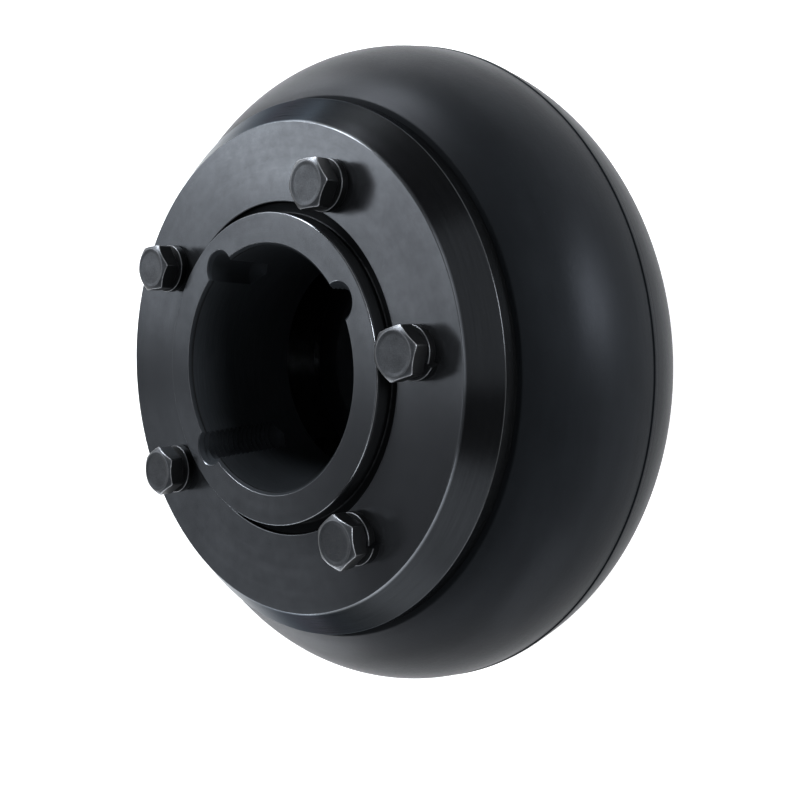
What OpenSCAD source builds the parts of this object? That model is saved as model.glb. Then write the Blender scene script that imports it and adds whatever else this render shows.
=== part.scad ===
// Tyre coupling: two hubs with bolted flanges that clamp the beads of a split rubber tyre.
// The shaft axis is Z, the origin is the centre of the coupling, and sizes are in millimetres.

/* [Overall] */
// Distance over the outer end faces of the two hubs
hub_span = 117; // [113:0.5:124]
// Diameter of the tyre at its crown, without the mould line
tyre_od = 238; // [230:1:250]

/* [Hub and bore] */
// Diameter of each hub
hub_od = 108; // [102:0.5:116]
// Length of each hub along the axis
hub_length = 45; // [38:0.5:50]
// Height of the hub's end face above the flange's face
hub_proud = 5; // [3:0.25:7]
// Diameter of the tapered bore where it meets the hub's end face
bore_mouth = 85.5; // [76:0.5:88]
// Included angle of the bore's taper in degrees
bore_taper = 8; // [4:0.5:12]
// Chamfer at the mouth of the bore
bore_chamfer = 1; // [0.5:0.25:1.5]
// Diameter of the half-round screw notches in the bore's wall
notch_d = 12.7; // [9:0.1:13]
// Distance from the bore's wall to the axis of a notch, towards the shaft
notch_inset = 0.5; // [0:0.1:2]
// Length of the two screw notches along the bore's wall
notch_length = 34; // [24:1:38]
// Length of the jacking notch along the bore's wall
jacking_length = 21; // [15:1:30]
// Angle of the first screw notch in degrees
notch_1_angle = 31; // [20:1:45]
// Angle of the second screw notch in degrees
notch_2_angle = 222; // [205:1:235]
// Angle of the jacking notch in degrees
jacking_angle = 124; // [105:1:145]
// Width of the turned recess round the root of the hub
recess_width = 3.75; // [2:0.25:4.5]
// Depth of that recess below the flange's face
recess_depth = 2; // [1:0.25:4]

/* [Flange] */
// Diameter of the flange's rim
flange_od = 188; // [180:1:196]
// Thickness of the flange from its face to the seat of the bead
flange_thickness = 15; // [13:0.5:17]
// Bevel from the flange's face to its rim
rim_bevel = 9; // [5:0.5:10]
// Small chamfer on the hub's turned edge
edge_break = 0.6; // [0.3:0.1:1]

/* [Tyre] */
// Radial step from the flange's rim out to the tyre's neck
neck_step = 1.75; // [0.5:0.25:4]
// Thickness of the rubber
tyre_wall = 11; // [8:0.5:13]
// Thickness of the clamped bead along the axis
bead_thickness = 11; // [9:0.5:13]
// Width of the raised mould line round the crown
mould_line_width = 1.6; // [0.8:0.1:3]
// Height of the mould line
mould_line_height = 0.4; // [0.2:0.1:0.8]
// Width of the gap at the tyre's one cross split
split_gap = 2; // [1:0.25:4]
// Angle of the split in degrees
split_angle = 180; // [150:1:210]

/* [Clamp rings] */
// Thickness of a clamp ring behind the bead
ring_thickness = 9; // [7:0.5:12]
// Radial wall of the ring's boss outside its screw holes
boss_wall = 4.75; // [3:0.05:7]
// Gap from the ring's boss to the flange, so that the screws pinch the bead
ring_gap = 3; // [1.5:0.25:5]
// Radial room from the ring to the hub
ring_hub_room = 3; // [1.5:0.25:3.5]
// Radial width of the ring behind the bead
ring_ledge = 10.8; // [8:0.2:12]
// Radial room from the ring's outer edge to the tyre's inner wall
ring_wall_room = 4; // [1:0.25:6]

/* [Screws] */
// Thread diameter of a screw
screw_d = 10; // [8:0.5:11]
// Length of a screw under its head
screw_length = 35; // [28:1:40]
// Width of the hexagon head across its flats
head_flats = 16; // [15:0.5:18]
// Height of the head
head_height = 6.5; // [5:0.25:8]
// Distance from a flat to the edge of the head's round top
head_top_inset = 0.7; // [0.1:0.1:1]
// Outer diameter of a spring washer
washer_od = 18; // [16:0.5:20]
// Thickness of a spring washer's coil
washer_thickness = 3; // [1.5:0.25:3.5]
// Height by which the washer's two ends spring apart
washer_rise = 2.25; // [0.25:0.25:3.5]
// Width of the cut through a spring washer
washer_cut = 1.4; // [0.8:0.1:2.5]
// Angle of the first screw in degrees
screw_1_angle = 5; // [0:0.5:12]
// Angle of the second screw in degrees
screw_2_angle = 63.5; // [55:0.5:80]
// Angle of the third screw in degrees
screw_3_angle = 146.5; // [140:0.5:156]
// Angle of the fourth screw in degrees
screw_4_angle = 215; // [205:0.5:225]
// Angle of the fifth screw in degrees
screw_5_angle = 306.5; // [290:0.5:315]

/* [Clearances] */
// Radial room between the hub and the spring washers
washer_hub_room = 4.65; // [3.75:0.05:6]
// Radial room between a screw and its hole in the flange
hole_room = 0.5; // [0.3:0.1:1]
// Radial room between a screw and its threaded hole in the ring
thread_room = 0.3; // [0.2:0.05:0.5]
// Radial room between a screw and its washer
washer_room = 0.3; // [0.2:0.05:0.6]
// Radial room between the ring's boss and the bead
bead_room = 0.3; // [0.2:0.05:0.6]

/* [Hidden] */
$fn = 144;
sides = ["front", "rear"];
screw_angles = [screw_1_angle, screw_2_angle, screw_3_angle, screw_4_angle, screw_5_angle];
screw_numbers = [1:len(screw_angles)];
// Angle at which each head and each washer's cut came to rest
head_turns = [16, 2, 4, 30, 39];
cut_turns = [-23, 160, 200, 170, -7];
notch_angles = [notch_1_angle, notch_2_angle];
// Slant of a spring washer's cut, and of the chamfers on heads and screw ends
cut_slant = 20;
head_chamfer = 30;
end_chamfer = 1;
head_sides = 6;
// Length by which a cutting solid runs past the face that it cuts
run_out = 1;

hub_r = hub_od / 2;
rim_r = flange_od / 2;
face_r = rim_r - rim_bevel;
recess_r = hub_r + recess_width;
hub_face_z = hub_span / 2;
hub_inner_z = hub_face_z - hub_length;
face_z = hub_face_z - hub_proud;
recess_z = face_z - recess_depth;
rim_z = face_z - rim_bevel;
seat_z = face_z - flange_thickness;
bead_back_z = seat_z - bead_thickness;
screw_circle_r = hub_r + washer_hub_room + washer_od / 2;
boss_r = screw_circle_r + screw_d / 2 + thread_room + boss_wall;
bead_r = boss_r + bead_room;
ring_inner_r = hub_r + ring_hub_room;
ring_outer_r = bead_r + ring_ledge;
ring_back_z = bead_back_z - ring_thickness;
washer_height = washer_thickness + washer_rise;
head_seat_z = face_z + washer_height;
crown_r = tyre_od / 2;
neck_r = rim_r + neck_step;
inner_crown_r = crown_r - tyre_wall;
inner_neck_r = ring_outer_r + ring_wall_room;

// Radius of the tapered bore at a height
function bore_r(z) = bore_mouth / 2 - (hub_face_z - z) * tan(bore_taper / 2);

// Radius of the arc that bulges by a rise over a chord of a given half width
function arc_radius(rise, half_width) = (pow(rise, 2) + pow(half_width, 2)) / (2 * rise);

// Puts a front piece on its side of the coupling
module on_side(side) {
    if (side == "front")
        children();
    else
        mirror([0, 0, 1])
            children();
}

// Puts a piece on the axis of a numbered screw
module at_screw(i, z) {
    rotate([0, 0, screw_angles[i - 1]])
        translate([screw_circle_r, 0, z])
            rotate([0, 0, -screw_angles[i - 1]])
                children();
}

// Half section of the hub and flange, radius against height
module flange_section() {
    polygon([
        [bore_r(hub_inner_z), hub_inner_z],
        [bore_r(hub_face_z - bore_chamfer), hub_face_z - bore_chamfer],
        [bore_r(hub_face_z) + bore_chamfer, hub_face_z],
        [hub_r - edge_break, hub_face_z],
        [hub_r, hub_face_z - edge_break],
        [hub_r, recess_z],
        [recess_r, recess_z],
        [recess_r, face_z],
        [face_r, face_z],
        [rim_r, rim_z],
        [rim_r, seat_z],
        [hub_r, seat_z],
        [hub_r, hub_inner_z],
    ]);
}

// Round cutter for one notch, lying along the bore's wall
module notch(angle, length) {
    rotate([0, 0, angle])
        translate([bore_mouth / 2 - notch_inset, 0, hub_face_z])
            rotate([0, bore_taper / 2, 0])
                translate([0, 0, -length])
                    cylinder(d = notch_d, h = length + run_out);
}

module flange(side) {
    color("#2c2d30")
        on_side(side)
            difference() {
                rotate_extrude()
                    flange_section();
                for (angle = notch_angles)
                    notch(angle, notch_length);
                notch(jacking_angle, jacking_length);
                for (i = screw_numbers)
                    at_screw(i, seat_z - run_out)
                        cylinder(r = screw_d / 2 + hole_room, h = flange_thickness + 2 * run_out);
            }
}

// Half section of the ring that pulls the bead against the flange
module ring_section() {
    boss_z = seat_z - ring_gap;
    polygon([
        [ring_inner_r, ring_back_z],
        [ring_outer_r, ring_back_z],
        [ring_outer_r, bead_back_z],
        [boss_r, bead_back_z],
        [boss_r, boss_z],
        [ring_inner_r, boss_z],
    ]);
}

module clamp_ring(side) {
    color("#4b4d52")
        on_side(side)
            difference() {
                rotate_extrude()
                    ring_section();
                for (i = screw_numbers)
                    at_screw(i, ring_back_z - run_out)
                        cylinder(r = screw_d / 2 + thread_room, h = seat_z - ring_back_z);
            }
}

// Band of revolution between two radii
module band(inner_r, outer_r, half_width) {
    rotate_extrude()
        translate([inner_r, -half_width])
            square([outer_r - inner_r, 2 * half_width]);
}

// Solid under an arc from a neck on each side over a crown, from an inner radius out
module arch(inner_r, edge_r, top_r, half_width) {
    radius = arc_radius(top_r - edge_r, half_width);
    rotate_extrude()
        intersection() {
            translate([top_r - radius, 0])
                circle(r = radius);
            translate([inner_r, -half_width])
                square([top_r, 2 * half_width]);
        }
}

module mould_line() {
    rotate_extrude()
        translate([crown_r - run_out, -mould_line_width / 2])
            square([run_out + mould_line_height, mould_line_width]);
}

module tyre() {
    color("#17181b")
        difference() {
            union() {
                arch(bead_r, neck_r, crown_r, seat_z);
                band(bead_r, rim_r, seat_z);
                mould_line();
            }
            arch(bead_r - run_out, inner_neck_r, inner_crown_r, bead_back_z);
            band(bead_r - run_out, ring_outer_r + ring_wall_room / 2, bead_back_z);
            rotate([0, 0, split_angle])
                translate([bead_r - run_out, -split_gap / 2, -hub_span / 2])
                    cube([crown_r, split_gap, hub_span]);
        }
}

// Half of a spring washer's coil, on the -Y side, with its underside at two heights
module coil_half(far_z, near_z) {
    reach = washer_od / 2;
    intersection() {
        cylinder(d = washer_od, h = washer_height);
        rotate([90, 0, 0])
            linear_extrude(height = reach)
                polygon([
                    [-reach, far_z],
                    [reach, near_z],
                    [reach, near_z + washer_thickness],
                    [-reach, far_z + washer_thickness],
                ]);
    }
}

// One turn that climbs from the end below the cut to the end above it
module washer(side, i) {
    color("#232427")
        on_side(side)
            at_screw(i, face_z)
                rotate([0, 0, cut_turns[i - 1]])
                    difference() {
                        union() {
                            coil_half(washer_rise / 2, 0);
                            mirror([0, 1, 0])
                                coil_half(washer_rise / 2, washer_rise);
                        }
                        translate([0, 0, -run_out])
                            cylinder(r = screw_d / 2 + washer_room, h = washer_height + 2 * run_out);
                        translate([0, 0, washer_height / 2])
                            rotate([cut_slant, 0, 0])
                                translate([0, -washer_cut / 2, -washer_height])
                                    cube([washer_od, washer_cut, 2 * washer_height]);
                    }
}

// Hexagon with its top corners turned off
module screw_head() {
    top_r = head_flats / 2 - head_top_inset;
    intersection() {
        cylinder(r = head_flats / 2 / cos(180 / head_sides), h = head_height, $fn = head_sides);
        cylinder(r1 = top_r + head_height / tan(head_chamfer), r2 = top_r, h = head_height);
    }
}

module screw_shank() {
    rotate_extrude()
        polygon([
            [0, 0],
            [screw_d / 2, 0],
            [screw_d / 2, end_chamfer - screw_length],
            [screw_d / 2 - end_chamfer, -screw_length],
            [0, -screw_length],
        ]);
}

module screw(side, i) {
    color("#3b3c40")
        on_side(side)
            at_screw(i, head_seat_z) {
                rotate([0, 0, head_turns[i - 1]])
                    screw_head();
                screw_shank();
            }
}

for (side = sides) {
    flange(side);
    clamp_ring(side);
    for (i = screw_numbers) {
        washer(side, i);
        screw(side, i);
    }
}
tyre();
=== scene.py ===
"""Tyre coupling: dressed pieces, studio light and the photograph's camera."""
import math
import bpy
import bmesh
from mathutils import Matrix, Quaternion, Vector

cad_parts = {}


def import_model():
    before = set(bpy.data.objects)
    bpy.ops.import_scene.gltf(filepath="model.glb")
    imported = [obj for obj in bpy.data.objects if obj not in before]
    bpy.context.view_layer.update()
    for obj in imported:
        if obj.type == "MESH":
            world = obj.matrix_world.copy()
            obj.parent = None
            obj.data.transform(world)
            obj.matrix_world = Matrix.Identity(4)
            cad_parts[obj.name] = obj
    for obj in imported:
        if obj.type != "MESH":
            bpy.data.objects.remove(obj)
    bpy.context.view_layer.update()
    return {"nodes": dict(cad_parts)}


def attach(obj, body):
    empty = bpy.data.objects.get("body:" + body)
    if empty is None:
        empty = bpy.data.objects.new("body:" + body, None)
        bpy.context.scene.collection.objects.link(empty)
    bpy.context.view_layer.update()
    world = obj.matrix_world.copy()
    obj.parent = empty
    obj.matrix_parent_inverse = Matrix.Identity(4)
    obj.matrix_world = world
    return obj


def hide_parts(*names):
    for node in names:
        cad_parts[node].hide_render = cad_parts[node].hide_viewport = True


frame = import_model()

MM = 0.001
TAU = 2 * math.pi

# Sizes of the solids: lengths in millimetres, places round the shaft axis in degrees
HUB_R = 54.0
HUB_FACE_Z = 58.5
HUB_INNER_Z = 13.5
FACE_Z = 53.5
RECESS_Z = 51.5
RECESS_R = 57.75
FACE_R = 85.0
RIM_R = 94.0
RIM_Z = 44.5
SEAT_Z = 38.5
BORE_MOUTH_R = 42.75
BORE_CHAMFER = 1.0
BORE_HALF_TAPER = math.radians(4)
NOTCH_R = 6.35
NOTCH_INSET = 0.5
THREADED_NOTCHES = (31, 222)
THREADED_NOTCH_LENGTH = 34.0
PLAIN_NOTCH = 124
PLAIN_NOTCH_LENGTH = 21.0
SCREW_CIRCLE_R = 67.65
SCREW_ANGLES = (5, 63.5, 146.5, 215, 306.5)
HEAD_TURNS = (16, 2, 4, 30, 39)
CUT_TURNS = (-23, 160, 200, 170, -7)
SCREW_R = 5.0
HOLE_R = 5.5
SCREW_LENGTH = 35.0
HEAD_FLATS = 16.0
HEAD_HEIGHT = 6.5
HEAD_TOP_R = 7.3
HEAD_CHAMFER = math.tan(math.radians(30))
WASHER_HOLE_R = 5.3
WASHER_T = 3.0
WASHER_RISE = 2.25
WASHER_CUT = 1.4
CUT_SLANT = math.radians(20)
NECK_R = 95.75
CROWN_R = 119.0
TYRE_WALL = 11.0
BEAD_R = 78.0
BEAD_BACK_Z = 27.5
INNER_NECK_R = 92.8
MOULD_LINE_W = 1.6
MOULD_LINE_H = 0.4
SPLIT_GAP = 2.0
SPLIT_ANGLE = 180
HEAD_SEAT_Z = FACE_Z + WASHER_T + WASHER_RISE
FLOOR_Z = -HEAD_SEAT_Z - HEAD_HEIGHT

# Sizes of what is shaped here alone, in millimetres
WASHER_R = 8.85
HEAD_CORNER_R = 9.02
HEAD_DISH = 0.2
HEAD_FOOT_R = 7.3
SCREW_PITCH = 1.5
SCREW_THREAD_DEPTH = 0.85
SCREW_THREAD_TOP = -9.0
SCREW_POINT = 0.9
NOTCH_PITCH = 2.1
NOTCH_THREAD_DEPTH = 0.95
NOTCH_FLARE = 0.8
DRILL_POINT = 3.4
DRILL_TIP = 0.05
THREAD_FLANK = 2.7
MOULD_LINE_SOFT = 0.2
MOULD_LINE_GROOVE = 0.12
TOUCH = 0.02
OVERRUN = 1.0

# Fineness of the meshes
FLANGE_SEGMENTS = 256
TYRE_SEGMENTS = 320
WASHER_SEGMENTS = 96
CUTTER_SIDES = 56
NOTCH_STEPS = 6
SCREW_STEPS = 5
OUTER_ARC_STEPS = 72
INNER_ARC_STEPS = 40
BEAD_STEPS = 3
NECK_STEPS = 6
MERGE_DISTANCE = 1e-4
LARGEST_SHARE = 0.45
SHARP_ANGLE = math.radians(38)
NORMAL_WEIGHT = 80

# Hexagon of a head: one side, the reach of edge rubbing and painted highlight at a corner, steps
# along a side in degrees
HEX_SIDE = math.radians(60)
CORNER_WEAR_AND_HIGHLIGHT_REACH = math.radians(3.2)
HEX_STEPS = (0, 1.1, 2.2, 3.6, 6, 11, 17, 23.5, 30, 36.5, 43, 49, 54, 56.4, 57.8, 58.9)


# Mesh making

def mesh_from(name, verts, faces, wear_and_highlight=None):
    """Mesh with outward faces, and a value for rubbed edges and painted highlight at each vertex
    where it is given.
    """
    mesh = bpy.data.meshes.new(name)
    mesh.from_pydata(verts, [], faces)
    if wear_and_highlight:
        mesh.attributes.new("wear_and_highlight", "FLOAT", "POINT").data.foreach_set("value", wear_and_highlight)
    bm = bmesh.new()
    bm.from_mesh(mesh)
    bmesh.ops.remove_doubles(bm, verts=bm.verts, dist=MERGE_DISTANCE)
    bmesh.ops.recalc_face_normals(bm, faces=bm.faces)
    bm.to_mesh(mesh)
    bm.free()
    return mesh


def skin(count, n, closed):
    """Faces between a count of rings of n points, capped unless the rings close on themselves."""
    faces = []
    for j in range(count if closed else count - 1):
        k = (j + 1) % count
        for i in range(n):
            m = (i + 1) % n
            faces.append((j * n + i, j * n + m, k * n + m, k * n + i))
    if not closed:
        faces.append(tuple(range(n)))
        faces.append(tuple(range((count - 1) * n, count * n)))
    return faces


def rounded(corners):
    """Closed outline with each corner (r, z, radius, steps) rounded by an arc."""
    out = []
    for i, (x, y, radius, steps) in enumerate(corners):
        p = Vector((x, y))
        if radius <= 0:
            out.append((x, y))
            continue
        a = Vector(corners[i - 1][:2]) - p
        b = Vector(corners[(i + 1) % len(corners)][:2]) - p
        half = a.angle(b) / 2
        reach = min(radius / math.tan(half), LARGEST_SHARE * a.length, LARGEST_SHARE * b.length)
        radius = reach * math.tan(half)
        inward = (a.normalized() + b.normalized()).normalized()
        centre = p + inward * (radius / math.sin(half))
        start = p + a.normalized() * reach - centre
        end = p + b.normalized() * reach - centre
        turn = start.angle_signed(end)
        for k in range(steps + 1):
            q = start.copy()
            q.rotate(Matrix.Rotation(-turn * k / steps, 2))
            out.append((centre.x + q.x, centre.y + q.y))
    return out


def lathe(name, outline, segments, start=0.0, sweep=TAU):
    """Solid of revolution about Z, split where the sweep stops short of a full turn."""
    closed = sweep >= TAU
    count = segments if closed else segments + 1
    verts = []
    for j in range(count):
        a = start + sweep * j / segments
        verts += [(r * math.cos(a), r * math.sin(a), z) for r, z in outline]
    return mesh_from(name, verts, skin(count, len(outline), closed))


def rod(name, radius_at, levels):
    """Closed rod up the Z axis whose radius follows the height and the direction."""
    verts = []
    for z in levels:
        for j in range(CUTTER_SIDES):
            a = TAU * j / CUTTER_SIDES
            r = radius_at(z, j / CUTTER_SIDES)
            verts.append((r * math.cos(a), r * math.sin(a), z))
    return mesh_from(name, verts, skin(len(levels), CUTTER_SIDES, False))


def cut(mesh, cutters):
    """Mesh with closed cutter meshes taken out of it."""
    body = bpy.data.objects.new("cut_body", mesh)
    bpy.context.scene.collection.objects.link(body)
    tools = []
    for cutter in cutters:
        tool = bpy.data.objects.new("cut_tool", cutter)
        bpy.context.scene.collection.objects.link(tool)
        tools.append(tool)
        mod = body.modifiers.new("cut", "BOOLEAN")
        mod.operation = "DIFFERENCE"
        mod.solver = "EXACT"
        mod.object = tool
    bpy.context.view_layer.update()
    evaluated = body.evaluated_get(bpy.context.evaluated_depsgraph_get())
    done = bpy.data.meshes.new_from_object(evaluated)
    for obj in [body] + tools:
        bpy.data.objects.remove(obj)
    return done


def mirrored(mesh, name):
    """Copy on the other side of the coupling's mid-plane."""
    other = mesh.copy()
    other.name = name
    other.transform(Matrix.Scale(-1, 4, Vector((0, 0, 1))))
    other.flip_normals()
    return other


def ridge(t):
    """Height of a thread's section, from 0 at the root to 1 at the crest."""
    away = abs(t - math.floor(t) - 0.5)
    return min(1.0, max(0.0, 0.5 * THREAD_FLANK - THREAD_FLANK * away))


def spin(degrees):
    return Matrix.Rotation(math.radians(degrees), 4, "Z")


def at_screw(i, z):
    a = math.radians(SCREW_ANGLES[i])
    return Matrix.Translation((SCREW_CIRCLE_R * math.cos(a), SCREW_CIRCLE_R * math.sin(a), z))


def bore_r(z):
    return BORE_MOUTH_R - (HUB_FACE_Z - z) * math.tan(BORE_HALF_TAPER)


# Flange with its hub

def notch_cutter(angle, length, threaded):
    """Rod for a notch: a drill point at its end, a thread if it takes a screw, a flared mouth."""
    full = length + OVERRUN
    if threaded:
        steps = round(full / NOTCH_PITCH * NOTCH_STEPS)
        levels = [full * i / steps for i in range(steps + 1)]
    else:
        levels = [0.0, DRILL_POINT, 0.5 * length, length - NOTCH_FLARE, full]

    def radius_at(z, turn):
        r = NOTCH_R * min(1.0, DRILL_TIP + z / DRILL_POINT)
        if threaded:
            root = 1 - ridge(z / NOTCH_PITCH - turn)
            r -= NOTCH_THREAD_DEPTH * root * min(1.0, z / DRILL_POINT)
        return max(r, NOTCH_R + z - length + NOTCH_FLARE)

    mesh = rod("notch", radius_at, levels)
    mouth = Matrix.Translation((BORE_MOUTH_R - NOTCH_INSET, 0, HUB_FACE_Z))
    lean = Matrix.Rotation(BORE_HALF_TAPER, 4, "Y")
    mesh.transform(spin(angle) @ mouth @ lean @ Matrix.Translation((0, 0, -length)))
    return mesh


def flange_mesh():
    """Turned flange and hub with rounded edges, three notches and five screw holes."""
    outline = rounded([
        (bore_r(HUB_INNER_Z), HUB_INNER_Z, 0.5, 3),
        (bore_r(HUB_FACE_Z - BORE_CHAMFER), HUB_FACE_Z - BORE_CHAMFER, 0.25, 3),
        (BORE_MOUTH_R + BORE_CHAMFER, HUB_FACE_Z, 0.25, 3),
        (HUB_R, HUB_FACE_Z, 0.5, 5),
        (HUB_R, RECESS_Z, 0.4, 3),
        (RECESS_R, RECESS_Z, 0.4, 3),
        (RECESS_R, FACE_Z, 0.45, 4),
        (FACE_R, FACE_Z, 0.5, 5),
        (RIM_R, RIM_Z, 0.5, 5),
        (RIM_R, SEAT_Z, 0.4, 3),
        (HUB_R, SEAT_Z, 0.6, 3),
        (HUB_R, HUB_INNER_Z, 0.6, 3),
    ])
    cutters = [notch_cutter(a, THREADED_NOTCH_LENGTH, True) for a in THREADED_NOTCHES]
    cutters.append(notch_cutter(PLAIN_NOTCH, PLAIN_NOTCH_LENGTH, False))
    for i in range(len(SCREW_ANGLES)):
        hole = rod("hole", lambda z, turn: HOLE_R, (0.0, FACE_Z - SEAT_Z + 2 * OVERRUN))
        hole.transform(at_screw(i, SEAT_Z - OVERRUN))
        cutters.append(hole)
    return cut(lathe("flange", outline, FLANGE_SEGMENTS), cutters)


# Tyre

def arc(crown, neck, half_width, steps):
    """Points of the arc from one neck over the crown to the other, from -Z to +Z."""
    rise = crown - neck
    radius = (rise ** 2 + half_width ** 2) / (2 * rise)
    reach = math.asin(half_width / radius)
    angles = [reach * (2 * k / steps - 1) for k in range(steps + 1)]
    return [(crown - radius + radius * math.cos(a), radius * math.sin(a)) for a in angles]


def tyre_mesh():
    """Rubber shell with two beads, a raised mould line between fine grooves and one split."""
    outer = arc(CROWN_R, NECK_R, SEAT_Z, OUTER_ARC_STEPS)
    inner = arc(CROWN_R - TYRE_WALL, INNER_NECK_R, BEAD_BACK_Z, INNER_ARC_STEPS)
    half = MOULD_LINE_W / 2
    soft = MOULD_LINE_SOFT
    line = [
        (half + 3 * soft, 0.0),
        (half + 1.6 * soft, -MOULD_LINE_GROOVE),
        (half + 0.5 * soft, -MOULD_LINE_GROOVE),
        (half - 0.3 * soft, 0.85 * MOULD_LINE_H),
        (half - 1.2 * soft, MOULD_LINE_H),
    ]
    crown = [(CROWN_R + h, -z) for z, h in line] + [(CROWN_R + h, z) for z, h in reversed(line)]
    corner = rounded([
        (BEAD_R, SEAT_Z, 0.8, BEAD_STEPS),
        (NECK_R, SEAT_Z, 1.6, NECK_STEPS),
        (outer[-2][0], outer[-2][1], 0, 0),
        (inner[-1][0], BEAD_BACK_Z, 0, 0),
        (BEAD_R, BEAD_BACK_Z, 0.8, BEAD_STEPS),
    ])
    front = corner[:BEAD_STEPS + NECK_STEPS + 2]
    back = corner[-(BEAD_STEPS + 1):]
    near = [p for p in outer if half + 4 * soft < p[1] < front[-1][1] - 0.5]
    outline = [(r, -z) for r, z in reversed(near)] + crown + near
    outline += front[::-1] + back[::-1] + inner[1:-1][::-1]
    outline += [(r, -z) for r, z in back + front]
    gap = SPLIT_GAP / CROWN_R
    start = math.radians(SPLIT_ANGLE) + gap / 2
    return lathe("tyre", outline, TYRE_SEGMENTS, start, TAU - gap)


# Screws and washers

def hex_r(a):
    """Reach of the head's hexagon in a direction, with its corners a little rounded."""
    return min(HEAD_FLATS / 2 / math.cos((a % HEX_SIDE) - HEX_SIDE / 2), HEAD_CORNER_R)


def corner_wear_and_highlight(a):
    """1 on an upright edge of the head, 0 away from it."""
    away = abs((a + HEX_SIDE / 2) % HEX_SIDE - HEX_SIDE / 2)
    return max(0.0, 1 - away / CORNER_WEAR_AND_HIGHLIGHT_REACH)


def head_directions():
    """Directions round a head, closer together at its six corners."""
    return [math.radians(60 * k + step) for k in range(6) for step in HEX_STEPS]


def chamfer_z(r):
    return HEAD_HEIGHT - max(0.0, r - HEAD_TOP_R) * HEAD_CHAMFER


def screw_rings():
    """Rings of a screw from its tip to its head's top: radius, height, and edge rubbing with
    painted highlight by direction.
    """
    tip = -SCREW_LENGTH
    first = tip + 0.3
    bare = SCREW_R - TOUCH
    dished = HEAD_HEIGHT - HEAD_DISH

    def even(r, z, wear_and_highlight=0.0):
        return lambda a: (r, z, wear_and_highlight)

    def thread(z):
        fade = max(0.0, min(1.0, (z - tip) / 1.2, SCREW_THREAD_TOP - z))
        crest = min(bare, SCREW_R - SCREW_POINT * (1 - min(1.0, z - tip)))
        depth = SCREW_THREAD_DEPTH * fade
        return lambda a: (crest - depth * (1 - ridge(z / SCREW_PITCH - a / TAU)), z, 0.0)

    def flat(inset, z, wear_and_highlight):
        return lambda a: (hex_r(a) - inset, z, wear_and_highlight * corner_wear_and_highlight(a))

    def chamfer(inset, drop, wear_and_highlight):
        def ring(a):
            r = hex_r(a) - inset
            return r, chamfer_z(r) - drop, max(wear_and_highlight, 0.3 * corner_wear_and_highlight(a))
        return ring

    def shoulder(a):
        r = min(hex_r(a) - 0.4, HEAD_TOP_R + 0.55)
        return r, chamfer_z(r), 0.0

    length = SCREW_THREAD_TOP - first
    count = int(length / SCREW_PITCH * SCREW_STEPS)
    point = [even(0.6, tip), even(SCREW_R - 1.3, tip), even(SCREW_R - SCREW_POINT, tip + 0.15)]
    threads = [thread(first + length * k / count) for k in range(count + 1)]
    foot = [
        even(bare, -0.5),
        even(bare, TOUCH),
        even(HEAD_FOOT_R - 0.3, TOUCH),
        even(HEAD_FOOT_R, 0.08),
        even(HEAD_FOOT_R + 0.1, 0.35),
    ]
    # The third value of each ring is edge rubbing that is partly painted highlight.
    sides = [
        flat(0.12, 0.4, 0.0),
        flat(0.0, 0.55, 0.1),
        flat(0.0, 0.5 * HEAD_HEIGHT, 0.25),
        chamfer(0.0, 0.4, 0.0),
        chamfer(0.0, 0.16, 0.5),
        chamfer(0.05, 0.05, 0.85),
        chamfer(0.17, 0.0, 0.4),
        shoulder,
    ]
    top = [
        even(HEAD_TOP_R + 0.15, HEAD_HEIGHT - 0.1, 0.2),
        even(HEAD_TOP_R - 0.08, HEAD_HEIGHT - 0.01, 0.55),
        even(HEAD_TOP_R - 0.3, HEAD_HEIGHT, 0.3),
        even(HEAD_TOP_R - 0.55, HEAD_HEIGHT),
        even(HEAD_TOP_R - 1.2, HEAD_HEIGHT - 0.16),
        even(HEAD_TOP_R - 1.6, dished),
        even(4.0, dished),
        even(2.0, dished),
    ]
    return point + threads + foot + sides + top


def screw_mesh(i):
    """Hexagon-head screw with a rolled thread."""
    turns = head_directions()
    rings = screw_rings()
    verts, wear_and_highlight = [], []
    for ring in rings:
        for a in turns:
            r, z, w = ring(a)
            verts.append((r * math.cos(a), r * math.sin(a), z))
            wear_and_highlight.append(w)
    mesh = mesh_from("screw", verts, skin(len(rings), len(turns), False), wear_and_highlight)
    mesh.transform(at_screw(i, HEAD_SEAT_Z) @ spin(HEAD_TURNS[i]))
    return mesh


def washer_wear_and_highlight(r, z, at_cut):
    """Rubbing and painted highlight on a washer's outer upper edge, and on its outer edge at the
    cut.
    """
    outer = max(0.0, 1 - abs(r - WASHER_R + 0.12) / 0.3)
    upper = max(0.0, 1 - abs(z - WASHER_T + 0.12) / 0.4)
    return max(0.6 * outer * upper, 0.3 * outer if at_cut else 0.0)


def washer_mesh(i):
    """Spring washer: a coil of one turn that climbs from one side of a slanted cut to the other."""
    section = rounded([
        (WASHER_HOLE_R, TOUCH, 0.25, 2),
        (WASHER_R, TOUCH, 0.35, 3),
        (WASHER_R, WASHER_T - TOUCH, 0.35, 3),
        (WASHER_HOLE_R, WASHER_T - TOUCH, 0.25, 2),
    ])
    verts, wear_and_highlight = [], []
    for j in range(WASHER_SEGMENTS + 1):
        t = j / WASHER_SEGMENTS
        for r, z in section:
            lean = (z - WASHER_T / 2) * math.tan(CUT_SLANT)
            start = (WASHER_CUT / 2 - lean) / r
            end = TAU - (WASHER_CUT / 2 + lean) / r
            a = start + (end - start) * t
            verts.append((r * math.cos(a), r * math.sin(a), z + WASHER_RISE * (1 - t)))
            wear_and_highlight.append(washer_wear_and_highlight(r, z, j in (0, WASHER_SEGMENTS)))
    mesh = mesh_from("washer", verts, skin(WASHER_SEGMENTS + 1, len(section), False), wear_and_highlight)
    mesh.transform(at_screw(i, FACE_Z) @ spin(CUT_TURNS[i]))
    return mesh


# Materials

def grey(value, blue=0.05):
    return (value * (1 - blue), value, value * (1 + blue), 1)
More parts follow.
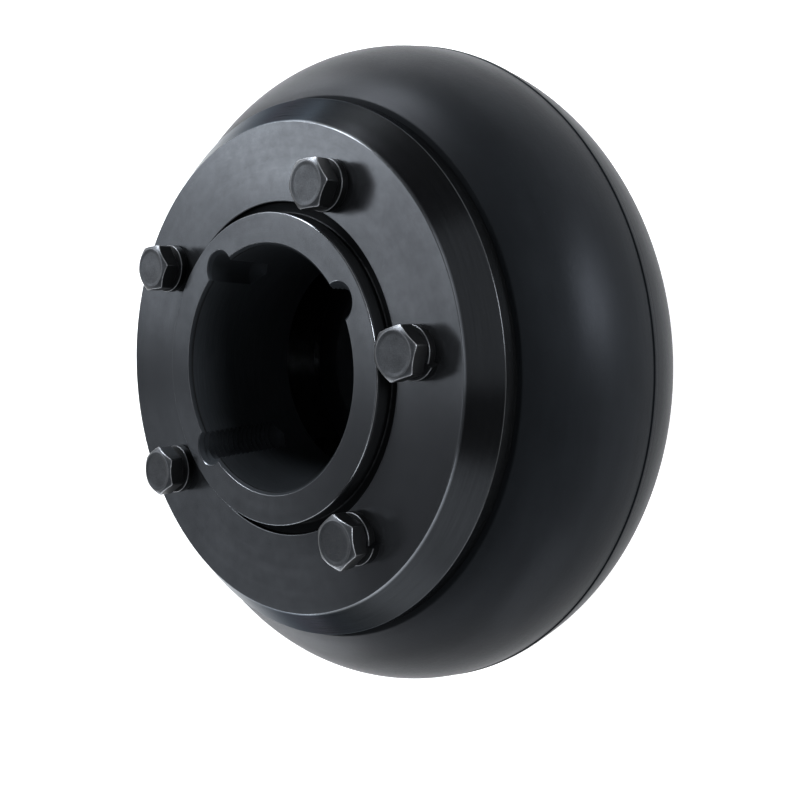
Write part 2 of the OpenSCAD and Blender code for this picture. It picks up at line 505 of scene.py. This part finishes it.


# Dark and light tone of each surface, with the bore, groove and notch tones dark as painted shade
# in the hollows, and single tones for specks and for rubbed edges that are partly painted highlight
FACE_TONES = grey(0.123), grey(0.167)
BEVEL_TONES = grey(0.019), grey(0.033)
# Painted shade: the bore tones are darker than the face to stand in for shade inside the bore.
BORE_SHADE_TONES = grey(0.036, 0.1), grey(0.056, 0.1)
# Painted shade: the groove tones darken the recess, the hub wall and the bore lip.
GROOVE_SHADE_TONES = grey(0.012), grey(0.024)
RUBBER_TONES = grey(0.007, 0.12), grey(0.012, 0.12)
# Painted shade: the notch tone darkens the notches in the bore.
NOTCH_SHADE_TONE = grey(0.05, 0.1)
IRON_SPECK = grey(0.05)
IRON_EDGE_TINT = grey(0.36)
# The two worn tones brighten edges: partly rubbing, partly painted highlight.
IRON_WORN_AND_HIGHLIT = grey(0.28, 0.03)
STEEL_WORN_AND_HIGHLIT = grey(0.3, 0.03)
RUBBER_SPECK = grey(0.03, 0.1)
RUBBER_TINT = (0.86, 0.91, 1.0, 1)

# Turned edges of the flange, rubbed and given a painted highlight: radius, height, reach of the
# rubbed, highlit edge and its level
WORN_AND_HIGHLIT_EDGES = (
    (HUB_R - 0.15, HUB_FACE_Z - 0.15, 0.5, 0.5),
    (BORE_MOUTH_R + BORE_CHAMFER, HUB_FACE_Z, 0.35, 0.3),
    (FACE_R - 0.1, FACE_Z - 0.1, 0.4, 0.2),
    (RIM_R - 0.1, RIM_Z, 0.4, 0.08),
    (RECESS_R, FACE_Z, 0.5, 0.55),
    (HUB_R + 0.3, RECESS_Z + 0.2, 0.4, 0.2),
)


class Graph:
    """Small helper to build a node tree."""

    def __init__(self, tree):
        self.tree = tree
        tree.nodes.clear()

    def put(self, node, values):
        for key, value in values.items():
            if isinstance(value, bpy.types.NodeSocket):
                self.tree.links.new(value, node.inputs[key])
            else:
                node.inputs[key].default_value = value

    def node(self, kind, values=None, **settings):
        node = self.tree.nodes.new(kind)
        for key, value in settings.items():
            setattr(node, key, value)
        self.put(node, values or {})
        return node

    def math(self, operation, *values):
        values = dict(enumerate(values))
        return self.node("ShaderNodeMath", values, operation=operation).outputs[0]

    def vector(self, operation, *values):
        values = dict(enumerate(values))
        node = self.node("ShaderNodeVectorMath", values, operation=operation)
        return node.outputs["Value"] if operation == "LENGTH" else node.outputs[0]

    def upward(self, vector):
        """Z part of a vector."""
        return self.node("ShaderNodeSeparateXYZ", {0: vector}).outputs[2]

    def noise(self, vector, scale, detail=3.0, roughness=0.55, w=None):
        values = {"Vector": vector, "Scale": scale, "Detail": detail, "Roughness": roughness}
        if w is not None:
            values["W"] = w
        dimensions = "3D" if w is None else "4D"
        return self.node("ShaderNodeTexNoise", values, noise_dimensions=dimensions).outputs[0]

    def span(self, value, low, high, to_low, to_high):
        values = {0: value, 1: low, 2: high, 3: to_low, 4: to_high}
        return self.node("ShaderNodeMapRange", values, clamp=True).outputs[0]

    def above(self, value, low, high):
        """0 under a soft step, 1 over it."""
        return self.span(value, low, high, 0.0, 1.0)

    def below(self, value, low, high):
        """1 under a soft step, 0 over it."""
        return self.span(value, low, high, 1.0, 0.0)

    def within(self, value, low, high, soft=0.1):
        """1 between two bounds, 0 outside them."""
        return self.both(self.above(value, low - soft, low), self.below(value, high, high + soft))

    def both(self, a, b):
        return self.math("MULTIPLY", a, b)

    def either(self, a, b):
        return self.math("MAXIMUM", a, b)

    def plus(self, value, *parts):
        """A value with other values added to it, each times its share."""
        for part, share in parts:
            value = self.math("ADD", value, self.math("MULTIPLY", part, share))
        return value

    def blend(self, factor, a, b):
        return self.node("ShaderNodeMix", {0: factor, 6: a, 7: b}, data_type="RGBA").outputs[2]

    def bump(self, height, strength, distance, normal=None):
        values = {"Height": height, "Strength": strength, "Distance": distance}
        if normal is not None:
            values["Normal"] = normal
        return self.node("ShaderNodeBump", values).outputs[0]

    def turned(self):
        """Place in millimetres, radius, height and direction about the shaft axis."""
        metres = self.node("ShaderNodeTexCoord").outputs["Object"]
        place = self.vector("MULTIPLY", metres, (1000, 1000, 1000))
        flat = self.vector("MULTIPLY", place, (1, 1, 0))
        height = self.math("ABSOLUTE", self.upward(place))
        return place, self.vector("LENGTH", flat), height, self.vector("NORMALIZE", flat)

    def ring_mask(self, radius, height, r, z, reach):
        """1 on a turned edge at (r, z), fading to 0 at the reach."""
        across = self.math("POWER", self.math("SUBTRACT", radius, r), 2)
        along = self.math("POWER", self.math("SUBTRACT", height, z), 2)
        away = self.math("SQRT", self.math("ADD", across, along))
        return self.below(away, reach * 0.35, reach)

    def surface(self, values):
        shader = self.node("ShaderNodeBsdfPrincipled", values)
        self.node("ShaderNodeOutputMaterial", {0: shader.outputs[0]})


def new_material(name):
    material = bpy.data.materials.new(name)
    material.use_nodes = True
    return material, Graph(material.node_tree)


def black_iron():
    """Black phosphate over turned iron: darker on the bevel, painted shade in the hollows, rubbed
    edges with a painted highlight.
    """
    material, g = new_material("black_iron")
    place, radius, height, around = g.turned()
    upright = g.node("ShaderNodeCombineXYZ", {2: height}).outputs[0]
    lines_at = g.vector("ADD", g.vector("MULTIPLY", around, (1.6, 1.6, 0)), upright)
    fine = g.noise(lines_at, 2.6, 4.0, 0.7, w=g.math("MULTIPLY", radius, 2.6))
    wide = g.noise(lines_at, 0.55, 2.0, 0.5, w=g.math("MULTIPLY", radius, 0.55))
    cloud = g.noise(place, 0.035, 4.0, 0.6)
    speck = g.noise(place, 1.4, 3.0, 0.65)
    mottle = g.noise(place, 0.22, 5.0, 0.65)
    tone = g.plus(g.math("MULTIPLY", cloud, 0.4), (wide, 0.25), (mottle, 0.35))
    lined = g.above(fine, 0.3, 0.7)

    bevel = g.both(g.above(radius, FACE_R + 0.2, FACE_R + 0.8),
                   g.below(height, FACE_Z - 0.5, FACE_Z - 0.2))
    # Painted shade: the recess, the hub wall and the bore lip take the dark groove tones.
    recess = g.both(g.within(radius, HUB_R - 0.3, RECESS_R + 0.05),
                    g.below(height, FACE_Z - 0.4, FACE_Z - 0.1))
    wall = g.both(g.within(radius, HUB_R - 0.15, HUB_R + 0.3),
                  g.below(height, HUB_FACE_Z - 1.2, HUB_FACE_Z - 0.6))
    lip = g.both(g.within(radius, BORE_MOUTH_R - 0.4, BORE_MOUTH_R + 0.85),
                 g.within(height, HUB_FACE_Z - 1.4, HUB_FACE_Z - 0.12))
    groove = g.either(lip, g.either(recess, wall))
    # Painted shade: the bore and its notches take darker tones.
    bore = g.both(g.below(radius, HUB_R - 4.0, HUB_R - 3.5),
                  g.below(height, HUB_FACE_Z - 0.35, HUB_FACE_Z - 0.1))
    depth = g.math("SUBTRACT", HUB_FACE_Z, height)
    untapered = g.plus(radius, (depth, math.tan(BORE_HALF_TAPER)))
    notch = g.both(bore, g.above(untapered, BORE_MOUTH_R + 0.1, BORE_MOUTH_R + 0.6))

    colour = g.blend(g.above(tone, 0.38, 0.62), *FACE_TONES)
    colour = g.blend(bevel, colour, g.blend(lined, *BEVEL_TONES))
    colour = g.blend(bore, colour, g.blend(lined, *BORE_SHADE_TONES))
    colour = g.blend(groove, colour, g.blend(lined, *GROOVE_SHADE_TONES))
    colour = g.blend(notch, colour, NOTCH_SHADE_TONE)
    colour = g.blend(g.span(speck, 0.62, 0.8, 0.0, 0.5), colour, IRON_SPECK)
    # Rubbed edges that are partly painted highlight.
    edges = 0.0
    for r, z, reach, level in WORN_AND_HIGHLIT_EDGES:
        mask = g.math("MULTIPLY", g.ring_mask(radius, height, r, z, reach), level)
        edges = g.either(edges, mask)
    patchy = g.span(g.noise(place, 0.35, 4.0, 0.7), 0.36, 0.64, 0.35, 1.0)
    colour = g.blend(g.both(edges, patchy), colour, IRON_WORN_AND_HIGHLIT)

    rough = g.plus(g.span(tone, 0.3, 0.7, 0.24, 0.18), (g.math("SUBTRACT", fine, 0.5), 0.11),
                   (g.either(bore, groove), 0.4), (notch, 0.25))
    g.surface({
        "Base Color": colour,
        "Metallic": 0.9,
        "Specular IOR Level": 0.4,
        "Specular Tint": IRON_EDGE_TINT,
        "Anisotropic": 0.15,
        "Roughness": rough,
        "Tangent": g.node("ShaderNodeTangent", direction_type="RADIAL", axis="Z").outputs[0],
        "Normal": g.bump(speck, 0.05, 0.00008, g.bump(fine, 0.12, 0.00005)),
    })
    return material


def steel(name, tone, rough, seed):
    """Black oxide on steel, with painted shade on upright faces and edges rubbed bright, partly
    real rubbing and partly painted highlight.
    """
    material, g = new_material(name)
    place = g.turned()[0]
    moved = g.vector("ADD", place, (seed, seed * 0.7, seed * 0.3))
    cloud = g.noise(moved, 0.16, 4.0, 0.6)
    grain = g.noise(moved, 1.8, 4.0, 0.65)
    scratch = g.noise(g.vector("MULTIPLY", moved, (0.25, 2.4, 0.8)), 1.0, 3.0, 0.6)
    mix = g.plus(g.math("MULTIPLY", cloud, 0.55), (grain, 0.45))
    level = g.math("ABSOLUTE", g.upward(g.node("ShaderNodeNewGeometry").outputs["Normal"]))
    edge = g.node("ShaderNodeAttribute", attribute_name="wear_and_highlight").outputs["Fac"]
    patchy = g.span(g.noise(moved, 0.5, 3.0, 0.6), 0.35, 0.6, 0.45, 1.0)

    colour = g.blend(g.above(mix, 0.35, 0.65), grey(tone * 0.7), grey(tone * 1.3))
    colour = g.blend(g.span(scratch, 0.64, 0.74, 0.0, 0.4), colour, grey(tone * 2.0))
    # Painted shade: upright faces are darkened.
    colour = g.blend(g.span(level, 0.25, 0.6, 0.96, 0.0), colour, grey(tone * 0.1))
    # Painted highlight mixed with rubbing: edges marked by the attribute turn bright.
    colour = g.blend(g.both(g.above(edge, 0.15, 0.85), patchy), colour, STEEL_WORN_AND_HIGHLIT)
    g.surface({
        "Base Color": colour,
        "Metallic": 0.85,
        "Specular IOR Level": 0.45,
        "Roughness": g.span(mix, 0.3, 0.7, rough + 0.08, rough - 0.06),
        "Normal": g.bump(grain, 0.1, 0.0001),
    })
    return material


def rubber():
    """Satin moulded rubber with a fine grain and faint lines of flow."""
    material, g = new_material("rubber")
    place = g.turned()[0]
    cloud = g.noise(place, 0.02, 4.0, 0.55)
    grain = g.noise(place, 0.9, 4.0, 0.6)
    flow = g.noise(g.vector("MULTIPLY", place, (0.25, 0.25, 1.6)), 0.12, 3.0, 0.6)
    tone = g.plus(g.math("MULTIPLY", cloud, 0.6), (flow, 0.4))
    colour = g.blend(g.above(tone, 0.35, 0.65), *RUBBER_TONES)
    colour = g.blend(g.span(grain, 0.66, 0.8, 0.0, 0.35), colour, RUBBER_SPECK)
    rough = g.plus(g.span(tone, 0.3, 0.7, 0.42, 0.35), (g.math("SUBTRACT", grain, 0.5), 0.12))
    g.surface({
        "Base Color": colour,
        "Specular IOR Level": 0.08,
        "Specular Tint": RUBBER_TINT,
        "Roughness": rough,
        "Normal": g.bump(flow, 0.05, 0.001, g.bump(grain, 0.3, 0.0001)),
    })
    return material


IRON = black_iron()
RUBBER = rubber()
SCREW = steel("screw_steel", 0.1, 0.36, 11.0)
WASHER = steel("washer_steel", 0.05, 0.4, 37.0)
RING = steel("ring_steel", 0.09, 0.45, 53.0)


# Pieces

def add_piece(name, mesh, material, node):
    """Makes a piece from a mesh in millimetres and lets it stand for its node."""
    mesh.transform(Matrix.Scale(MM, 4))
    mesh.shade_smooth()
    mesh.set_sharp_from_angle(angle=SHARP_ANGLE)
    obj = bpy.data.objects.new(name, mesh)
    bpy.context.scene.collection.objects.link(obj)
    normals = obj.modifiers.new("weighted_normals", "WEIGHTED_NORMAL")
    normals.keep_sharp = True
    normals.weight = NORMAL_WEIGHT
    mesh.materials.clear()
    mesh.materials.append(material)
    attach(obj, "root")
    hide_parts(node)


def add_pair(mesh, kind, material):
    """Adds a front piece and its mirrored copy at the rear."""
    other = mirrored(mesh, "rear_" + kind)
    for side, piece in (("front", mesh), ("rear", other)):
        node = side + "_" + kind
        add_piece(node + "_dressed", piece, material, node)


add_pair(flange_mesh(), "flange", IRON)
add_piece("tyre_dressed", tyre_mesh(), RUBBER, "tyre")
for number in range(len(SCREW_ANGLES)):
    add_pair(screw_mesh(number), "screw_%d" % (number + 1), SCREW)
    add_pair(washer_mesh(number), "washer_%d" % (number + 1), WASHER)
for side in ("front", "rear"):
    ring = frame["nodes"][side + "_clamp_ring"]
    ring.data.materials.clear()
    ring.data.materials.append(RING)


# Floor, light and camera

FLOOR_REACH = 6.0
FLOOR_COLOUR = (0.82, 0.82, 0.82, 1)
WALL_COLOUR = (1, 1, 1, 1)
CEILING_COLOUR = (0.05, 0.05, 0.055, 1)
LIGHT_COLOUR = (0.9, 0.935, 1.0)

# Softboxes, in metres: name, place, target, width, height, brightness, roll in degrees
SOFTBOXES = (
    ("key_left", (-0.8, 0.54, 0.66), (0, 0.02, 0.03), 0.66, 0.62, 1.65, 0),
    ("key_low", (-0.815, 0.14, 0.8), (0, 0, 0.05), 0.34, 0.78, 0.92, -3),
    ("left_wall", (-0.82, -0.42, 0.54), (0, 0, 0.03), 0.7, 0.5, 0.4, 0),
    ("top_box", (-0.36, 0.82, 0.46), (0, 0.05, 0.03), 0.5, 0.22, 26.0, 35),
    ("low_left", (-0.64, -0.62, 0.06), (0, 0, 0.02), 0.4, 0.26, 5.0, 0),
    ("top_left", (-0.62, 0.74, 0.08), (0, 0.1, 0.03), 0.3, 0.16, 9.0, 0),
    ("low_floor", (0.42, -0.84, 0.06), (0.08, -0.05, 0.02), 0.5, 0.2, 4.0, 0),
    ("low_card", (-0.2, -0.84, 0.34), (0, 0, 0.02), 0.8, 0.4, 2.0, 0),
    ("low_right", (0.46, -0.78, 0.5), (0, 0, 0.02), 0.66, 0.34, 1.6, 0),
    ("right_patch", (1.0, 0.3, 0.1), (0.1, 0.02, 0.02), 0.4, 0.32, 22.0, 0),
    ("overhead", (-0.1, -0.05, 1.15), (0, 0, 0.05), 0.6, 0.6, 0.7, 0),
    ("right_card", (0.72, 0.33, 0.6), (0, 0, 0.03), 0.98, 0.34, 0.8, 0),
)


def floor():
    """Pale floor that glows to white for the camera and in reflections, except under the hub, where
    the missing glow paints a shadow.
    """
    corners = [(-1, -1), (1, -1), (1, 1), (-1, 1)]
    verts = [(x * FLOOR_REACH, y * FLOOR_REACH, FLOOR_Z * MM) for x, y in corners]
    mesh = bpy.data.meshes.new("floor")
    mesh.from_pydata(verts, [], [(0, 1, 2, 3)])
    obj = bpy.data.objects.new("floor", mesh)
    bpy.context.scene.collection.objects.link(obj)
    material, g = new_material("pale_floor")
    path = g.node("ShaderNodeLightPath").outputs
    mirrored_rays = g.either(path["Is Glossy Ray"], path["Is Transmission Ray"])
    seen = g.either(path["Is Camera Ray"], mirrored_rays)
    radius = g.turned()[1]
    # Painted shadow: the glow fades out between 60 and 85 mm from the axis.
    near = g.span(radius, 60, 85, 0.0, 0.86)
    far = g.span(radius, 400, 1600, 0.0, 0.13)
    base = g.node("ShaderNodeBsdfDiffuse", {0: FLOOR_COLOUR})
    glow = g.node("ShaderNodeEmission", {"Strength": g.both(seen, g.math("ADD", near, far))})
    total = g.node("ShaderNodeAddShader", {0: base.outputs[0], 1: glow.outputs[0]})
    g.node("ShaderNodeOutputMaterial", {0: total.outputs[0]})
    mesh.materials.append(material)


def world():
    """White near the horizon and dim overhead, as in a studio with white walls."""
    scene = bpy.context.scene
    scene.world = bpy.data.worlds.new("studio")
    scene.world.use_nodes = True
    g = Graph(scene.world.node_tree)
    rise = g.upward(g.node("ShaderNodeTexCoord").outputs["Generated"])
    colour = g.blend(g.above(rise, 0.1, 0.26), WALL_COLOUR, CEILING_COLOUR)
    back = g.node("ShaderNodeBackground", {0: colour, 1: 1.0})
    g.node("ShaderNodeOutputWorld", {0: back.outputs[0]})


def softbox(name, place, target, width, height, brightness, roll):
    """Rectangular lamp aimed at a target, as bright at any size."""
    data = bpy.data.lights.new(name, "AREA")
    data.shape = "RECTANGLE"
    data.size = width
    data.size_y = height
    data.energy = brightness * math.pi * width * height
    data.color = LIGHT_COLOUR
    obj = bpy.data.objects.new(name, data)
    obj.location = place
    obj.rotation_mode = "QUATERNION"
    aim = (Vector(target) - Vector(place)).to_track_quat("-Z", "Y")
    obj.rotation_quaternion = aim @ Quaternion((0, 0, 1), math.radians(roll))
    obj.visible_camera = False
    bpy.context.scene.collection.objects.link(obj)


def camera():
    """Camera of the photograph, worked out from its view of the face and rim circles."""
    azimuth, rise = math.radians(41.007), math.radians(1.626)
    centre = Vector((-22.13, 6.64, 418.57))
    focal_px, image_px = 1085.45, 800.0
    middle_x, middle_y = 440.0, 345.0
    level = math.cos(rise)
    z = Vector((-math.sin(azimuth) * level, math.sin(rise), -math.cos(azimuth) * level))
    up = Vector((0, -1, 0))
    y = (up - up.dot(z) * z).normalized()
    x = y.cross(z)
    to_object = Matrix((x, y, z))
    right, down, ahead = to_object.col
    data = bpy.data.cameras.new("camera")
    data.sensor_width = 36.0
    data.lens = focal_px * data.sensor_width / image_px
    data.shift_x = (image_px / 2 - middle_x) / image_px
    data.shift_y = (middle_y - image_px / 2) / image_px
    data.clip_start = 0.01
    data.clip_end = 50
    obj = bpy.data.objects.new("camera", data)
    turn = Matrix((right, -down, -ahead)).transposed()
    obj.matrix_world = Matrix.Translation((to_object @ -centre) * MM) @ turn.to_4x4()
    bpy.context.scene.collection.objects.link(obj)
    bpy.context.scene.camera = obj


floor()
world()
for box in SOFTBOXES:
    softbox(*box)
camera()
bpy.context.scene.view_settings.view_transform = "Standard"
